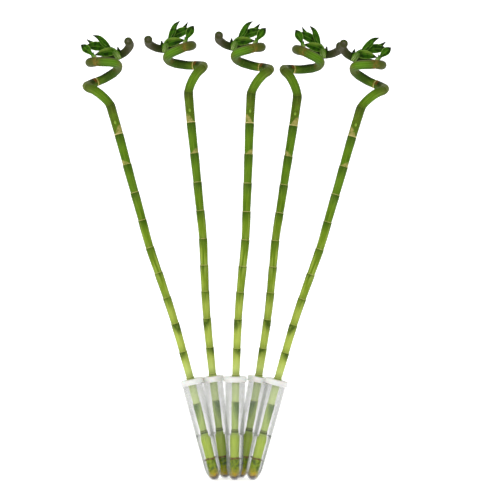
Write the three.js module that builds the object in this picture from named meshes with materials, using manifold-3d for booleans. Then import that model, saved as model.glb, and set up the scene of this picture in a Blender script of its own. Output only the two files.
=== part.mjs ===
// Five spiral lucky bamboo plants, each standing in its own capped tube of water, gathered in one clump.
// Millimetres, +Z up. The origin is the middle of the flat foot of the middle tube, and -Y is the front.
import * as THREE from "three";
import { mergeVertices } from "three/addons/utils/BufferGeometryUtils.js";
import Module from "manifold-3d";

const wasm = await Module();
wasm.setup();

const GAP = 0.3; // clearance between pieces that touch

// The plants from left to right: where the tip of each tube stands, how far the plant leans to the right
// and to the back in degrees, how large it has grown beside the middle one, and how its coil winds. Hand 1
// winds anticlockwise going up, seen from above, and -1 mirrors it.
const PLANTS = [
  { x: -24.6, y: 0.2, lean: -13.6, back: 0, grown: 1.005, hand: -1 },
  { x: -11.6, y: 16.7, lean: -7.6, back: 0, grown: 1.009, hand: 1 },
  { x: 0, y: 0, lean: 0.4, back: 0, grown: 1, hand: 1 },
  { x: 7.3, y: 18.8, lean: 10.6, back: 0.6, grown: 1.007, hand: -1 },
  { x: 21.8, y: 1.3, lean: 14.3, back: -0.8, grown: 1.001, hand: 1 },
];

// The tube: a straight taper over a rounded end, which is half an ellipse.
const TUBE_HEIGHT = 134.4;
const TUBE_RIM_RADIUS = 13.8;
const TUBE_END_RADIUS = 11;
const TUBE_END_HEIGHT = 22;
const TUBE_WALL = 1;
const TUBE_FLOOR = 1.9;
const FOOT_DEPTH = 0.8; // how much of the rounded end is taken off to make the flat foot
const ROUND_SIDES = 18;
const END_STEPS = 4;

// The cap: a thin top with a skirt over the rim, which widens a little to its lower edge.
const CAP_TOP = 136;
const CAP_HEIGHT = 6.8;
const CAP_THICKNESS = 1.3;
const CAP_TOP_RADIUS = 14.9;
const CAP_EDGE_RADIUS = 15.5;
const CAP_HOLE_RADIUS = 6.6;
const CAP_FLANGE = 1.2; // height of the wider lower edge
const CAP_BEVEL = 0.5;

// The water, level in every tube, and the hole in it, which is narrow round the cane's foot and wider where
// the root stubs are. The level is measured on the tube's axis. The cane's foot fills the tube's rounded end,
// so the water starts beside it.
const WATER_LEVEL = 60.6;
const HOLE_FOOT_RADIUS = 5.6;
const HOLE_FOOT_TOP = 14;
const HOLE_RADIUS = 7.4;
const HOLE_WIDE_FROM = 18;

// The cane's centre line, from its cut foot up. It is straight in the tube, bows above it and ends in a coil.
const CANE_FOOT = 4.6;
const STRAIGHT = [
  [0, 0, CANE_FOOT],
  [0, 0, 50],
  [0.3, 0, 95],
  [0.8, 0, 136],
  [1.7, 0, 165],
  [2.6, 0, 195],
  [4.5, 0, 230],
  [8.5, 0, 276],
  [12.2, 0, 318],
  [13.4, 0, 360],
  [15, 0, 410],
  [16.2, 0, 458],
  [17.6, 0, 492],
];
const COIL = [
  [18.8, 0, 506.6],
  [25.4, -7, 519],
  [33.6, -9, 528.5],
  [40, -5.5, 533.2],
  [42.3, 2, 536.8],
  [40, 10.5, 538.8],
  [33.8, 17.8, 540.9],
  [21.6, 22.7, 543.3],
  [13.3, 21.9, 545.5],
  [5.2, 17.8, 547.6],
  [-1, 10.5, 550.2],
  [-3.2, 0, 553.6],
  [-0.5, -9, 556],
  [5.3, -14.9, 557.9],
  [13.3, -17.3, 559.9],
  [21.4, -15.5, 562.5],
  [28.3, -9, 564.5],
  [31.2, 0, 565.6],
  [29, 10, 566.2],
  [20, 19, 566.8],
  [8, 23, 567.5],
  [-5, 21.8, 568.5],
  [-14.8, 16.8, 570],
  [-21.2, 10, 573.2],
  [-24.7, 2.5, 575.7],
  [-24.4, -5, 578],
  [-24.1, -11.5, 579.4],
];

// Joints: heights on the straight cane, and lengths of cane from the start of the coil.
const STRAIGHT_JOINTS = [
  30, 65.2, 103, 137.6, 172.1, 209.9, 245.2, 279.1, 313.6, 350.4, 387.5, 425.4, 465.8, 506.6,
];
const COIL_JOINTS = [38, 68.5, 97, 152, 190, 228];

// The cane's section. Each length of cane widens from a neck to the collar under its upper joint, and the next
// one starts slimmer. The cane grows stouter from its foot to the coil, and the foot itself has no neck.
const CANE_SIDES = 8;
const COLLAR_RADIUS = 6;
const FOOT_COLLAR_SHARE = 0.85; // a collar's radius at the foot, beside one's at the coil
const NECK_SHARE = { foot: 0.87, top: 0.91, coil: 0.95 }; // a neck's radius beside its collar's
const COLLAR_PROFILE = [
  { at: 0, widened: 0 },
  { at: 0.72, widened: 0.35 },
  { at: 1, widened: 1 },
];
const JOINT_STEP = 0.7; // height of the step in from a collar to the next length of cane
const COIL_RING_SPACING = 9;
const END_ROUNDING = 1.6;
const END_SHARE = 0.8; // radius of the two cut ends, beside a collar's

// Small things on the cane: root stubs round the lowest joint, and a resting bud above the highest straight
// one.
const ROOTS = {
  count: 6,
  height: 29,
  stagger: 1.4,
  start: 3.5,
  reach: 6.8,
  droop: 0.8,
  radius: 0.9,
  tip: 0.54,
};
const REST_BUD = { height: 482, x: 17.1, length: 5, radius: 1.6, sunk: 1.5, tip: 0.3 };

// Leaves. Each blade has the points of its midrib, its greatest half width and where along the blade that
// is, the way its face looks, how far its edges are raised as a share of the half width, and how wide it
// starts.
const BLADE_THICKNESS = 0.7;
const BLADE_STEPS = 5;
const BLADE_TIP_SHARE = 0.08;
const CLASP_GAP = 0.4; // clearance between a shoot and the cane that it clasps
const UPPER_SHEATH = [
  { at: [-6, 20, 566.5], radius: 5 },
  { at: [-4.4, 15.6, 570.5], radius: 4.7 },
  { at: [-1.6, 13.6, 575], radius: 3.6 },
  { at: [1.5, 12.4, 579.5], radius: 2.2 },
];
const UPPER_BUD = [
  { at: [-7.8, 17.5, 569.5], radius: 2.2 },
  { at: [-8.1, 14.8, 573.8], radius: 2.2 },
  { at: [-7.9, 13.4, 578.6], radius: 0.9 },
];
const TALL_LEAF = {
  rib: [[-1.5, 13.5, 572.5], [4.6, 12.5, 580.8], [9, 11.5, 588.1], [13, 9.5, 594.9], [19.7, 6, 600.4]],
  half: 4.9,
  widest: 0.5,
  face: [-0.5, -1, 0.2],
  fold: 0.35,
  start: 0.7,
};
const BROAD_LEAF = {
  rib: [[-0.5, 13, 574.5], [7.5, 12, 580.6], [16, 10, 584.6], [24.5, 7, 586.6], [32, 4, 588.4]],
  half: 7.2,
  widest: 0.56,
  face: [0.1, -1, 0.25],
  fold: 0.16,
  start: 0.55,
};
const LEAF_BEHIND = {
  rib: [[0.5, 13.4, 575.5], [12, 16, 583], [22.5, 15.5, 590.5], [29.7, 12, 598.6]],
  half: 3.8,
  widest: 0.5,
  face: [0.3, -1, 0.1],
  fold: 0.3,
  start: 0.5,
};
const LOW_FOLDED_LEAF = {
  rib: [[-4.4, 15.2, 571.8], [3, 9, 574.6], [12, 6.5, 575.2], [23.5, 3.5, 574]],
  half: 5.4,
  widest: 0.4,
  face: [0, -1, -0.35],
  fold: 0.55,
  start: 0.55,
};
const LOWER_SHEATH = [
  { at: [21.6, -14.2, 565.5], radius: 3 },
  { at: [23, -11.6, 570], radius: 2.6 },
  { at: [25.4, -10.4, 574], radius: 1.7 },
];
const NARROW_LEAF = {
  rib: [[22.8, -11.8, 568.6], [26.6, -9.6, 575.6], [30.6, -7.2, 582.2], [34.4, -5.6, 587.2], [36.8, -5, 590]],
  half: 5.4,
  widest: 0.64,
  face: [0.3, -1, 0.3],
  fold: 0.3,
  start: 0.65,
};
const SMALL_INNER_LEAF = {
  rib: [[22.8, -11, 568.9], [24, -9, 573], [23, -7.5, 577.5]],
  half: 2,
  widest: 0.4,
  face: [0.2, -1, 0.4],
  fold: 0.3,
  start: 0.8,
};

const seeThrough = (color, roughness, opacity) =>
  new THREE.MeshStandardMaterial({ color, roughness, metalness: 0, transparent: true, opacity });
const opaque = (color, roughness) => new THREE.MeshStandardMaterial({ color, roughness, metalness: 0 });
const frosted = seeThrough(0xdfe6e6, 0.35, 0.45);
const water = seeThrough(0xd8e4dc, 0.05, 0.35);
const white = opaque(0xeeeeea, 0.5);
const cane = opaque(0x7f9a35, 0.45);
const leaf = opaque(0x3a7020, 0.5);

const vector = (p) => new THREE.Vector3(...p);

// A manifold solid from a three.js geometry, and a geometry back from a solid.
function toSolid(geometry) {
  const bare = geometry.clone();
  bare.deleteAttribute("normal");
  bare.deleteAttribute("uv");
  const merged = mergeVertices(bare, 1e-4);
  return new wasm.Manifold(
    new wasm.Mesh({
      numProp: 3,
      vertProperties: merged.attributes.position.array,
      triVerts: new Uint32Array(merged.index.array),
    }),
  );
}

function toGeometry(solid) {
  const mesh = solid.getMesh();
  const geometry = new THREE.BufferGeometry();
  geometry.setAttribute("position", new THREE.BufferAttribute(mesh.vertProperties, 3));
  geometry.setIndex(new THREE.BufferAttribute(mesh.triVerts, 1));
  geometry.computeVertexNormals();
  return geometry;
}

// The largest body of a solid, without scraps that a cut left behind.
function largestBody(solid) {
  return solid.decompose().reduce((best, body) => (body.volume() > best.volume() ? body : best));
}

// A closed skin over a row of rings with equal numbers of points, which run anticlockwise seen from the far
// end. With twoFaced, the second half of each ring is the back of a blade, and is split into triangles like
// its front.
function loft(rings, twoFaced = false) {
  const count = rings[0].length;
  const last = (rings.length - 1) * count;
  const indices = [];
  for (let i = 0; i < last; i += count) {
    for (let j = 0; j < count; j++) {
      const a = i + j;
      const b = i + ((j + 1) % count);
      if (twoFaced && j >= count / 2) indices.push(a, b, a + count, b, b + count, a + count);
      else indices.push(a, b, b + count, a, b + count, a + count);
    }
  }
  for (let j = 1; j + 1 < count; j++) {
    indices.push(0, j + 1, j);
    indices.push(last, last + j, last + j + 1);
  }
  const geometry = new THREE.BufferGeometry();
  const numbers = rings.flat().flatMap((p) => p.toArray());
  geometry.setAttribute("position", new THREE.Float32BufferAttribute(numbers, 3));
  geometry.setIndex(indices);
  return geometry;
}

// Rings round a row of points, each turned only as far as the line bends, so that the skin doesn't twist.
function ringsAlong(points, tangents, radii, sides) {
  const side = new THREE.Vector3(1, 0, 0);
  return points.map((point, i) => {
    const ahead = tangents[i];
    side.addScaledVector(ahead, -side.dot(ahead)).normalize();
    const across = ahead.clone().cross(side);
    return Array.from({ length: sides }, (_, j) => {
      const angle = (2 * Math.PI * j) / sides;
      return point
        .clone()
        .addScaledVector(side, radii[i] * Math.cos(angle))
        .addScaledVector(across, radii[i] * Math.sin(angle));
    });
  });
}

// A round pod or sheath through a few stations.
function pod(stations, sides = 6) {
  const points = stations.map((s) => vector(s.at));
  const tangents = points.map((_, i) => {
    const before = points[Math.max(i - 1, 0)];
    const after = points[Math.min(i + 1, points.length - 1)];
    return after.clone().sub(before).normalize();
  });
  return loft(ringsAlong(points, tangents, stations.map((s) => s.radius), sides));
}

// A leaf blade, folded up along its midrib and narrowing to its point.
function blade({ rib, half, widest, face, fold, start }) {
  const line = new THREE.CatmullRomCurve3(rib.map(vector));
  const swell = Math.log(0.5) / Math.log(widest);
  const rings = [];
  for (let i = 0; i <= BLADE_STEPS; i++) {
    const u = i / BLADE_STEPS;
    const tangent = line.getTangentAt(u);
    const side = tangent.clone().cross(vector(face)).normalize();
    const normal = side.clone().cross(tangent);
    const width = half * Math.max(Math.sin(Math.PI * u ** swell), start * (1 - 2 * u), BLADE_TIP_SHARE);
    const point = (across, up) =>
      line.getPointAt(u).addScaledVector(side, across * width).addScaledVector(normal, up);
    const raised = fold * width;
    const front = [point(-1, raised), point(0, 0), point(1, raised)];
    const back = [
      point(1, raised - BLADE_THICKNESS),
      point(0, -BLADE_THICKNESS),
      point(-1, raised - BLADE_THICKNESS),
    ];
    rings.push([...front, ...back]);
  }
  return loft(rings, true);
}

// The cane's centre line, with its length up to the start of the coil.
const caneLine = new THREE.CatmullRomCurve3([...STRAIGHT, ...COIL].map(vector));
caneLine.arcLengthDivisions = 2000;
const caneLength = caneLine.getLength();
const coilStart = (() => {
  const lengths = caneLine.getLengths();
  const share = STRAIGHT.length / (STRAIGHT.length + COIL.length - 1);
  return lengths[Math.round(share * caneLine.arcLengthDivisions)];
})();

// Where along the cane each joint is, from the foot.
const straightScale = coilStart / (COIL[0][2] - CANE_FOOT);
const joints = [
  ...STRAIGHT_JOINTS.map((height) => (height - CANE_FOOT) * straightScale),
  ...COIL_JOINTS.map((length) => coilStart + length),
];

// How slim a length of cane starts, beside its collar. The lowest one is as wide as its collar.
function neckShare(index, grown) {
  if (index === 0) return 1;
  return grown < 1 ? THREE.MathUtils.lerp(NECK_SHARE.foot, NECK_SHARE.top, grown) : NECK_SHARE.coil;
}

// The cane's rings as lengths from the foot and radii: a collar under each joint, and rounded ends.
function caneStations() {
  const stations = [{ at: 0, radius: END_SHARE * COLLAR_RADIUS * FOOT_COLLAR_SHARE }];
  const bounds = [0, ...joints, caneLength];
  for (let i = 0; i + 1 < bounds.length; i++) {
    const from = bounds[i] + (i ? JOINT_STEP : END_ROUNDING);
    const to = i + 2 < bounds.length ? bounds[i + 1] : caneLength - END_ROUNDING;
    const grown = Math.min(to / coilStart, 1);
    const collar = COLLAR_RADIUS * THREE.MathUtils.lerp(FOOT_COLLAR_SHARE, 1, grown);
    const neck = neckShare(i, grown);
    const radiusAt = (share) => {
      const upper = COLLAR_PROFILE.find((p) => p.at >= share);
      const lower = COLLAR_PROFILE.findLast((p) => p.at <= share);
      const t = upper.at > lower.at ? (share - lower.at) / (upper.at - lower.at) : 0;
      const widened = THREE.MathUtils.lerp(lower.widened, upper.widened, t);
      return collar * THREE.MathUtils.lerp(neck, 1, widened);
    };
    const steps = from < coilStart ? 0 : Math.round((to - from) / COIL_RING_SPACING);
    const even = Array.from({ length: steps + 1 }, (_, k) => k / steps);
    const shares = steps > 3 ? even : COLLAR_PROFILE.map((p) => p.at);
    for (const share of shares) {
      stations.push({ at: from + share * (to - from), radius: radiusAt(share) });
    }
  }
  stations.push({ at: caneLength, radius: END_SHARE * COLLAR_RADIUS });
  return stations;
}

// The cane as a solid, grown by extra all round where a clearance is cut with it.
function caneSkin(extra) {
  const stations = caneStations();
  const points = stations.map((s) => caneLine.getPointAt(s.at / caneLength));
  const tangents = stations.map((s) => caneLine.getTangentAt(s.at / caneLength));
  return toSolid(loft(ringsAlong(points, tangents, stations.map((s) => s.radius + extra), CANE_SIDES)));
}

function rootStub(index) {
  const angle = (2 * Math.PI * index) / ROOTS.count;
  const height = ROOTS.height + (index % 2) * ROOTS.stagger;
  const out = (radius, droop) => [radius * Math.cos(angle), radius * Math.sin(angle), height - droop];
  const stations = [
    { at: out(ROOTS.start, 0), radius: ROOTS.radius },
    { at: out(ROOTS.reach, ROOTS.droop), radius: ROOTS.tip },
  ];
  return toSolid(pod(stations, 4));
}

function restingBud() {
  const { height, x, length, radius, sunk, tip } = REST_BUD;
  const skin = COLLAR_RADIUS * NECK_SHARE.top;
  const stations = [
    { at: [x, sunk - skin, height - length / 2], radius },
    { at: [x, -skin, height], radius },
    { at: [x, -skin, height + length / 2], radius: tip },
  ];
  return toSolid(pod(stations));
}

function stalk() {
  let solid = caneSkin(0).add(restingBud());
  for (let i = 0; i < ROOTS.count; i++) solid = solid.add(rootStub(i));
  return solid;
}

// A shoot: its blades and buds fused to the sheath, and hollowed where it clasps the cane.
function shoot(sheath, buds, blades) {
  let solid = toSolid(pod(sheath));
  for (const bud of buds) solid = solid.add(toSolid(pod(bud)));
  for (const one of blades) solid = solid.add(toSolid(blade(one)));
  return largestBody(solid.subtract(caneSkin(CLASP_GAP)));
}

// Points of the tube's outside or inside, from the axis up to the rim.
function tubeOutline(inset, floor, top) {
  const points = [];
  const radiusAt = (z) =>
    THREE.MathUtils.mapLinear(z, TUBE_END_HEIGHT, TUBE_HEIGHT, TUBE_END_RADIUS, TUBE_RIM_RADIUS) - inset;
  for (let i = 0; i <= END_STEPS; i++) {
    const angle = (Math.PI / 2) * (i / END_STEPS);
    points.push(
      new THREE.Vector2(
        i ? radiusAt(TUBE_END_HEIGHT) * Math.sin(angle) : 0,
        TUBE_END_HEIGHT - (TUBE_END_HEIGHT - floor) * Math.cos(angle),
      ),
    );
  }
  points.push(new THREE.Vector2(radiusAt(top), top));
  return points;
}

// A block above a level (side 1) or below it (side -1), seen from a plant that stands at its lean.
function levelBlock(placed, middle, side) {
  const depth = TUBE_END_HEIGHT;
  const block = new THREE.BoxGeometry(TUBE_HEIGHT, TUBE_HEIGHT, depth);
  block.translate(middle.x, middle.y, middle.z + (side * depth) / 2);
  block.applyMatrix4(placed.clone().invert());
  return toSolid(block);
}

// The tube, with its flat foot cut level with the ground.
function tube(placed) {
  const outside = tubeOutline(0, 0, TUBE_HEIGHT);
  const inside = tubeOutline(TUBE_WALL, TUBE_FLOOR, TUBE_HEIGHT);
  const wall = toSolid(new THREE.LatheGeometry([...outside, ...inside.reverse()], ROUND_SIDES));
  const foot = new THREE.Vector3().setFromMatrixPosition(placed).setZ(0);
  return wall.rotate([90, 0, 0]).subtract(levelBlock(placed, foot, -1));
}

function cap() {
  const base = CAP_TOP - CAP_HEIGHT;
  const skirt = TUBE_RIM_RADIUS + GAP;
  const outline = [
    [CAP_HOLE_RADIUS, CAP_TOP - CAP_THICKNESS],
    [skirt, CAP_TOP - CAP_THICKNESS],
    [skirt, base],
    [CAP_EDGE_RADIUS, base],
    [CAP_EDGE_RADIUS, base + CAP_FLANGE],
    [CAP_TOP_RADIUS, base + CAP_FLANGE + CAP_BEVEL],
    [CAP_TOP_RADIUS, CAP_TOP - CAP_BEVEL],
    [CAP_TOP_RADIUS - CAP_BEVEL, CAP_TOP],
    [CAP_HOLE_RADIUS, CAP_TOP],
    [CAP_HOLE_RADIUS, CAP_TOP - CAP_THICKNESS],
  ];
  const points = outline.map((p) => new THREE.Vector2(...p));
  return toSolid(new THREE.LatheGeometry(points, ROUND_SIDES)).rotate([90, 0, 0]);
}

function waterBody(placed) {
  const full = WATER_LEVEL + TUBE_END_HEIGHT / 2;
  const inside = [...tubeOutline(TUBE_WALL + GAP, TUBE_FLOOR + GAP, full), new THREE.Vector2(0, full)];
  const hole = [
    new THREE.Vector2(0, 0),
    new THREE.Vector2(HOLE_FOOT_RADIUS, 0),
    new THREE.Vector2(HOLE_FOOT_RADIUS, HOLE_FOOT_TOP),
    new THREE.Vector2(HOLE_RADIUS, HOLE_WIDE_FROM),
    new THREE.Vector2(HOLE_RADIUS, TUBE_HEIGHT),
    new THREE.Vector2(0, TUBE_HEIGHT),
  ];
  const turned = (outline) => toSolid(new THREE.LatheGeometry(outline, ROUND_SIDES)).rotate([90, 0, 0]);
  const level = new THREE.Vector3(0, 0, WATER_LEVEL).applyMatrix4(placed);
  return turned(inside).subtract(turned(hole)).subtract(levelBlock(placed, level, 1));
}

// The height of the tube's tip when it leans, with its foot cut level with the ground. rise is the cosine
// of the lean.
function tipHeight(rise) {
  const reach = Math.hypot(TUBE_END_RADIUS * Math.sqrt(1 - rise * rise), TUBE_END_HEIGHT * rise);
  return reach - FOOT_DEPTH - TUBE_END_HEIGHT * rise;
}

function named(name, solid, material) {
  const mesh = new THREE.Mesh(toGeometry(solid), material.clone());
  mesh.name = name;
  return mesh;
}

const stalkSolid = stalk();
const upperShoot = shoot(UPPER_SHEATH, [UPPER_BUD], [TALL_LEAF, BROAD_LEAF, LEAF_BEHIND, LOW_FOLDED_LEAF]);
const lowerShoot = shoot(LOWER_SHEATH, [], [NARROW_LEAF, SMALL_INNER_LEAF]);
const capSolid = cap();

const clump = new THREE.Group();
PLANTS.forEach(({ x, y, lean, back, grown, hand }, index) => {
  const number = index + 1;
  const plant = new THREE.Group();
  plant.rotation.y = THREE.MathUtils.degToRad(lean);
  plant.rotation.x = THREE.MathUtils.degToRad(-back);
  plant.position.set(x, y, tipHeight(Math.cos(plant.rotation.x) * Math.cos(plant.rotation.y)));
  plant.updateMatrix();
  const own = (solid) => (hand < 0 ? solid.mirror([1, 0, 0]) : solid).scale(grown);
  plant.add(named(`tube_${number}`, tube(plant.matrix), frosted));
  plant.add(named(`cap_${number}`, capSolid, white));
  plant.add(named(`water_${number}`, waterBody(plant.matrix), water));
  plant.add(named(`stalk_${number}`, own(stalkSolid), cane));
  plant.add(named(`upper_shoot_${number}`, own(upperShoot), leaf));
  plant.add(named(`lower_shoot_${number}`, own(lowerShoot), leaf));
  clump.add(plant);
});

export default clump;
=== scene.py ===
"""Five spiral lucky bamboo plants in capped water tubes: the fine surfaces, finishes, light and camera.

Lengths are written in millimetres in each plant's own frame, where Z runs up the tube's axis from its tip.
They are turned to metres when a piece is put in its place.
"""
import math

import bmesh
import bpy
from mathutils import Matrix, Vector, noise


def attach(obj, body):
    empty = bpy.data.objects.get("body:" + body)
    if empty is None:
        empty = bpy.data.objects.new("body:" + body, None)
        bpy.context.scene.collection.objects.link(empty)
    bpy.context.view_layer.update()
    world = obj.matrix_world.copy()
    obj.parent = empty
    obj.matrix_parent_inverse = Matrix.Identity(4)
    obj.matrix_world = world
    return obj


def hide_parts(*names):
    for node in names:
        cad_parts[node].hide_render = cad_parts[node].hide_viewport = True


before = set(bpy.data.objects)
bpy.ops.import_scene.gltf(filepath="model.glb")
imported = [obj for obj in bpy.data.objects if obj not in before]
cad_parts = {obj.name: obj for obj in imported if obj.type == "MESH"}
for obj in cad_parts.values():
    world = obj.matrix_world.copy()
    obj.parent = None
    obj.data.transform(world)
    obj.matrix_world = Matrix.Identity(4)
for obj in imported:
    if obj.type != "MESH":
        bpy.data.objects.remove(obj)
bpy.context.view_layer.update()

MM = 0.001

# The plants from left to right: where the tip of each tube stands, how far the plant leans to the right and
# to the back in degrees, how large it has grown beside the middle one, and the hand that its coil winds in.
PLANTS = [
    {"tip": (-24.6, 0.2), "lean": -13.6, "back": 0, "grown": 1.005, "hand": -1},
    {"tip": (-11.6, 16.7), "lean": -7.6, "back": 0, "grown": 1.009, "hand": 1},
    {"tip": (0, 0), "lean": 0.4, "back": 0, "grown": 1, "hand": 1},
    {"tip": (7.3, 18.8), "lean": 10.6, "back": 0.6, "grown": 1.007, "hand": -1},
    {"tip": (21.8, 1.3), "lean": 14.3, "back": -0.8, "grown": 1.001, "hand": 1},
]

# The tube.
TUBE_HEIGHT = 134.4
TUBE_RIM_RADIUS = 13.8
TUBE_END_RADIUS = 11
TUBE_END_HEIGHT = 22
TUBE_WALL = 1
TUBE_FLOOR = 1.9
TUBE_RIM_ROUNDING = 0.25
TUBE_RING_SPACING = 8
FOOT_DEPTH = 0.8  # how much of the rounded end is cut off level, so that the tube stands
ROUND_SIDES = 72
END_STEPS = 16

# The cap.
CAP_TOP = 136
CAP_HEIGHT = 6.8
CAP_THICKNESS = 1.3
CAP_TOP_RADIUS = 14.9
CAP_EDGE_RADIUS = 15.5
CAP_HOLE_RADIUS = 6.6
CAP_FLANGE = 1.2
CAP_CLEARANCE = 0.3
CAP_DISH_DEPTH = 0.35
CAP_LIP_WIDTH = 1.1
CAP_RIM_WIDTH = 2  # from the side of the cap in to its dish
CAP_HOLE_EDGE = 0.15
CAP_SKIRT_EDGE = 0.2
CAP_ROUNDING = 0.9
CAP_ROUNDING_STEPS = 5
SOFT_EDGE = 0.25  # how far back a moulded edge is rounded
SOFT_EDGE_MIDDLE = 0.07  # how far the middle of such a rounding stands in

# The water. It is drawn up a little, by the meniscus, at the wall and at the cane.
WATER_LEVEL = 60.6
WATER_CLEARANCE = 0.05
WATER_HOLE_RADIUS = 3.4  # inside the cane, so that the water touches its skin
WATER_HOLE_FLOOR = 7
WATER_HOLE_RINGS = (45, 30, 18)
WATER_FLAT_RINGS = (9, 8, 7.2)
MENISCUS = 0.15
MENISCUS_STEP = 0.45
MENISCUS_STEPS = 6
MENISCUS_AT_CANE = [(0.9, 0.85), (0.3, 0.5), (-0.6, 0)]  # distance from the skin, and how low, as a share
LEVELLING_DEPTH = 14  # how far down the tube the water's rings are sheared to make its surface level
DAMP_SHARE = 0.65  # how clear the plastic just above the water is, beside what is wet
DAMP_FROM = 1.1 * WATER_LEVEL  # where it starts to be drier, up to the rim

# The cane's centre line from its cut foot up, and its joints.
CANE_FOOT = 4.6
STRAIGHT = [
    (0, 0, CANE_FOOT), (0, 0, 50), (0.3, 0, 95), (0.8, 0, 136), (1.7, 0, 165), (2.6, 0, 195), (4.5, 0, 230),
    (8.5, 0, 276), (12.2, 0, 318), (13.4, 0, 360), (15, 0, 410), (16.2, 0, 458), (17.6, 0, 492),
]
COIL = [
    (18.8, 0, 506.6), (25.4, -7, 519), (33.6, -9, 528.5), (40, -5.5, 533.2), (42.3, 2, 536.8),
    (40, 10.5, 538.8), (33.8, 17.8, 540.9), (21.6, 22.7, 543.3), (13.3, 21.9, 545.5), (5.2, 17.8, 547.6),
    (-1, 10.5, 550.2), (-3.2, 0, 553.6), (-0.5, -9, 556), (5.3, -14.9, 557.9), (13.3, -17.3, 559.9),
    (21.4, -15.5, 562.5), (28.3, -9, 564.5), (31.2, 0, 565.6), (29, 10, 566.2), (20, 19, 566.8),
    (8, 23, 567.5), (-5, 21.8, 568.5), (-14.8, 16.8, 570), (-21.2, 10, 573.2), (-24.7, 2.5, 575.7),
    (-24.4, -5, 578), (-24.1, -11.5, 579.4),
]
STRAIGHT_JOINTS = [
    30, 65.2, 103, 137.6, 172.1, 209.9, 245.2, 279.1, 313.6, 350.4, 387.5, 425.4, 465.8, 506.6,
]
COIL_JOINTS = [38, 68.5, 97, 152, 190, 228]
LINE_STEPS = 40  # samples on each span of a curve
CLOSE = 1e-6  # lengths that differ by less are the same
CANE_SIDES = 36
COLLAR_RADIUS = 6
FOOT_COLLAR_SHARE = 0.8
NECK_SHARE = {"foot": 0.87, "top": 0.91, "coil": 0.95}  # a neck's radius beside its collar's
WIDE_FROM = 0.84  # share of each length of cane from which it is as wide as its collar
LIP_HEIGHT = 1.3  # height of the step in from a collar to the neck above it
TAPER = 0.1  # how much slimmer the coil is at its cut end
END_ROUNDING = 1.6
END_SHARE = 0.8
CUT_END_STEPS = ((0.1, 0.6), (-0.1, 0.7), (-0.15, 1.4))  # depth and width of each inset into a cut end
RING_SPACING = 3
RINGS_ABOVE_JOINT = (0.2, 0.45, 0.75, 1.05, 1.4, 2.2)
RINGS_BELOW_JOINT = (4.5, 3, 2, 1.2, 0.6, 0.2)
RINGS_AT_END = (0, 0.15, 0.45, 0.95, 1.6)
SKIN_WAVE = 0.11  # height of the skin's slow waves
SKIN_WAVES = [
    {"share": 1, "round": 0.9, "length": 14, "shift": 0},
    {"share": 0.5, "round": 2.3, "length": 6, "shift": 5},
]

# The old leaf scars, by joint from the foot up: how far the dark patch under each reaches down the cane. They
# sit on the right and the left in turn, and a little to the front.
SCAR_REACH = [2, 3, 28, 3, 11, 16, 3, 5, 4, 4, 5, 3, 5, 4, 3, 4, 3, 4, 3, 3]
SCAR_TURN = math.radians(40)
SCAR_WRAP = 0.15  # how far a patch reaches past the half of the cane that it faces
SCAR_ROUNDNESS = 0.6  # power that rounds the lower end of a patch
HUSK_REACH = {12: 7, 13: 12}  # how far dry husk still clings up two of the lengths, from the joint below

# The root stubs at the lowest joint and the bud that rests below the coil.
ROOTS = {
    "count": 6, "height": 29, "stagger": 1.4, "start": 3.5, "reach": 6.8, "half_droop": 0.2, "droop": 0.8,
    "radius": 0.9, "tip": 0.54, "sides": 10,
}
REST_BUD = {"height": 482, "x": 17.1, "length": 5, "radius": 1.6, "sunk": 1.5, "tip": 0.3, "sides": 14}
STUB_STEPS = 6
STUB_TIP = ((0.5, 0.8), (0.85, 0.35))  # how far out a tip's rings are, and how wide, beside its radius

# The parts of a plant, as the trait attribute numbers them.
SKIN, CUT_END, ROOT, RESTING_BUD, BLADE, SHEATH, SHOOT_BUD = range(7)

# Sheaths and buds: points and radii. Leaves: points of the midrib, greatest half width and where it is, the
# way that the leaf faces, how far its edges are raised, and its width at the start.
SHEATH_SIDES = 24
SHOOT_BUD_SIDES = 16
UPPER_SHEATH = [
    ((-6, 20, 566.5), 5), ((-4.4, 15.6, 570.5), 4.7), ((-1.6, 13.6, 575), 3.6), ((1.5, 12.4, 579.5), 2.2),
]
UPPER_BUD = [((-7.8, 17.5, 569.5), 2.2), ((-8.1, 14.8, 573.8), 2.2), ((-7.9, 13.4, 578.6), 0.9)]
LOWER_SHEATH = [((21.6, -14.2, 565.5), 3), ((23, -11.6, 570), 2.6), ((25.4, -10.4, 574), 1.7)]
TALL_LEAF = {
    "rib": [(-1.5, 13.5, 572.5), (4.6, 12.5, 580.8), (9, 11.5, 588.1), (13, 9.5, 594.9), (19.7, 6, 600.4)],
    "half": 4.9, "widest": 0.5, "face": (-0.5, -1, 0.2), "fold": 0.35, "start": 0.7,
}
BROAD_LEAF = {
    "rib": [(-0.5, 13, 574.5), (7.5, 12, 580.6), (16, 10, 584.6), (24.5, 7, 586.6), (32, 4, 588.4)],
    "half": 6.5, "widest": 0.6, "face": (0.1, -1, 0.25), "fold": 0.16, "start": 0.55,
}
LEAF_BEHIND = {
    "rib": [(0.5, 13.4, 575.5), (12, 16, 583), (22.5, 15.5, 590.5), (29.7, 12, 598.6)],
    "half": 3.8, "widest": 0.5, "face": (0.3, -1, 0.1), "fold": 0.3, "start": 0.5,
}
LOW_FOLDED_LEAF = {
    "rib": [(-4.4, 15.2, 571.8), (3, 9, 574.6), (12, 6.5, 575.2), (23.5, 3.5, 574)],
    "half": 5.8, "widest": 0.44, "face": (0, -1, -0.35), "fold": 0.55, "start": 0.55,
}
NARROW_LEAF = {
    "rib": [
        (22.8, -11.8, 568.6), (26.6, -9.6, 575.6), (30.6, -7.2, 582.2), (34.4, -5.6, 587.2), (36.8, -5, 590),
    ],
    "half": 5.2, "widest": 0.64, "face": (0.3, -1, 0.3), "fold": 0.3, "start": 0.65,
}
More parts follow.
